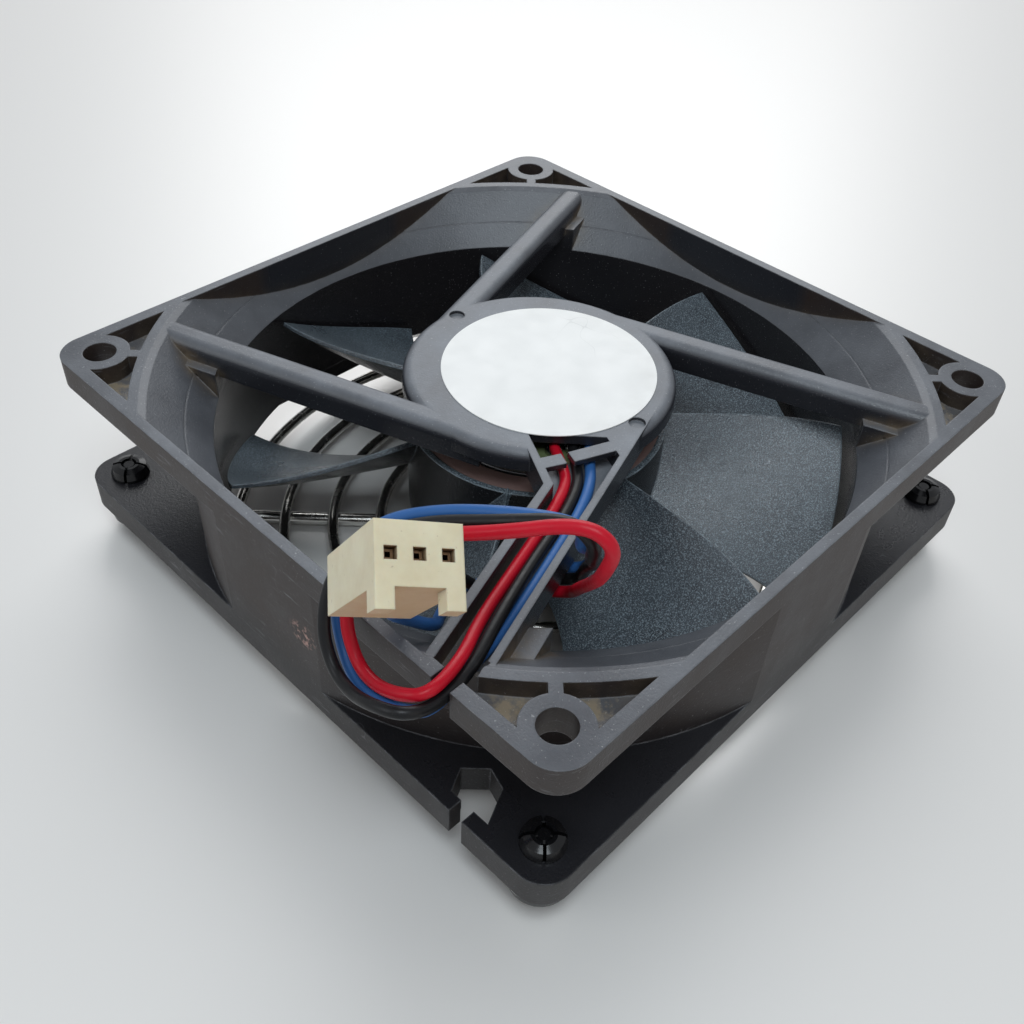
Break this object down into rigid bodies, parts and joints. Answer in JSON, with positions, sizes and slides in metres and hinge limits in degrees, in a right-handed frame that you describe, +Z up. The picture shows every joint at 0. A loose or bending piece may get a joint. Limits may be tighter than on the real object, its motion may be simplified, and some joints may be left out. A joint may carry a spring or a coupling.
{
  "type": "axial cooling fan",
  "caption": "Square axial cooling fan with twisted blades, strutted exhaust side, wire finger guard and thin leads looped to a small plug.",
  "frame": {"origin": "on the table under the fan's axis, level with the bottom of the finger guard", "axes": "+Z up along the fan's axis towards the exhaust side, X and Y along the sides of the square frame"},
  "size_m": [0.1012, 0.092, 0.0543],
  "materials": {
    "black_moulding": "satin, lightly dusty",
    "impeller_moulding": "satin with fine pale flecks",
    "label_film": "white printed film, left bare",
    "plated_wire": "bright nickel plate",
    "rivet_nylon": "moulded nylon",
    "ivory_nylon": "moulded nylon, slightly glossy",
    "tinned_brass": "tin plated",
    "red_insulation": "extruded PVC",
    "black_insulation": "extruded PVC",
    "blue_insulation": "extruded PVC",
    "board_laminate": "green solder mask",
    "yellow_tape": "polyester tape",
    "bonded_ferrite": "plastic-bonded ferrite",
    "bright_steel": "ground",
    "lamination_steel": "stacked laminations",
    "turned_brass": "turned",
    "bobbin_plastic": "moulded nylon",
    "enamelled_copper": "enamelled winding wire",
    "chip_epoxy": "moulded epoxy",
    "resistor_ceramic": "film on ceramic",
    "capacitor_can": "drawn can"
  },
  "bodies": {
    "frame": {"frame": "black_moulding", "label": "label_film", "finger_guard": "plated_wire", "guard_rivets": "rivet_nylon", "guard_rivet_pins": "rivet_nylon", "plug_housing": "ivory_nylon", "plug_contacts": "tinned_brass", "lead_red": "red_insulation", "lead_black": "black_insulation", "lead_blue": "blue_insulation", "circuit_board": "board_laminate", "coil_tapes": "yellow_tape", "bearing_tube": "turned_brass", "stator_core": "lamination_steel", "upper_bobbin": "bobbin_plastic", "lower_bobbin": "bobbin_plastic", "stator_coils": "enamelled_copper", "driver_chip": "chip_epoxy", "hall_sensor": "chip_epoxy", "resistors": "resistor_ceramic", "capacitor": "capacitor_can", "winding_pins": "tinned_brass", "lower_bearing_outer_race": "bright_steel", "upper_bearing_outer_race": "bright_steel"},
    "rotor": {"impeller": "impeller_moulding", "rotor_yoke": "bright_steel", "magnet_ring": "bonded_ferrite", "shaft": "bright_steel", "shaft_bush": "turned_brass", "retaining_clip": "bright_steel", "preload_spring": "bright_steel", "lower_bearing_inner_race": "bright_steel", "upper_bearing_inner_race": "bright_steel"},
    "ball_sets": {"lower_bearing_balls": "bright_steel", "upper_bearing_balls": "bright_steel", "lower_bearing_cage": "bright_steel", "upper_bearing_cage": "bright_steel"}
  },
  "joints": [
    {"name": "impeller_spin", "type": "hinge", "parent": "frame", "child": "rotor", "pos_m": [0, 0, 0.02], "axis": [0, 0, 1], "continuous": true},
    {"name": "ball_orbit", "type": "hinge", "parent": "frame", "child": "ball_sets", "pos_m": [0, 0, 0.02], "axis": [0, 0, 1], "continuous": true}
  ],
  "couplings": [
    {"joint": "ball_orbit", "follows": "impeller_spin", "ratio": 0.358}
  ]
}
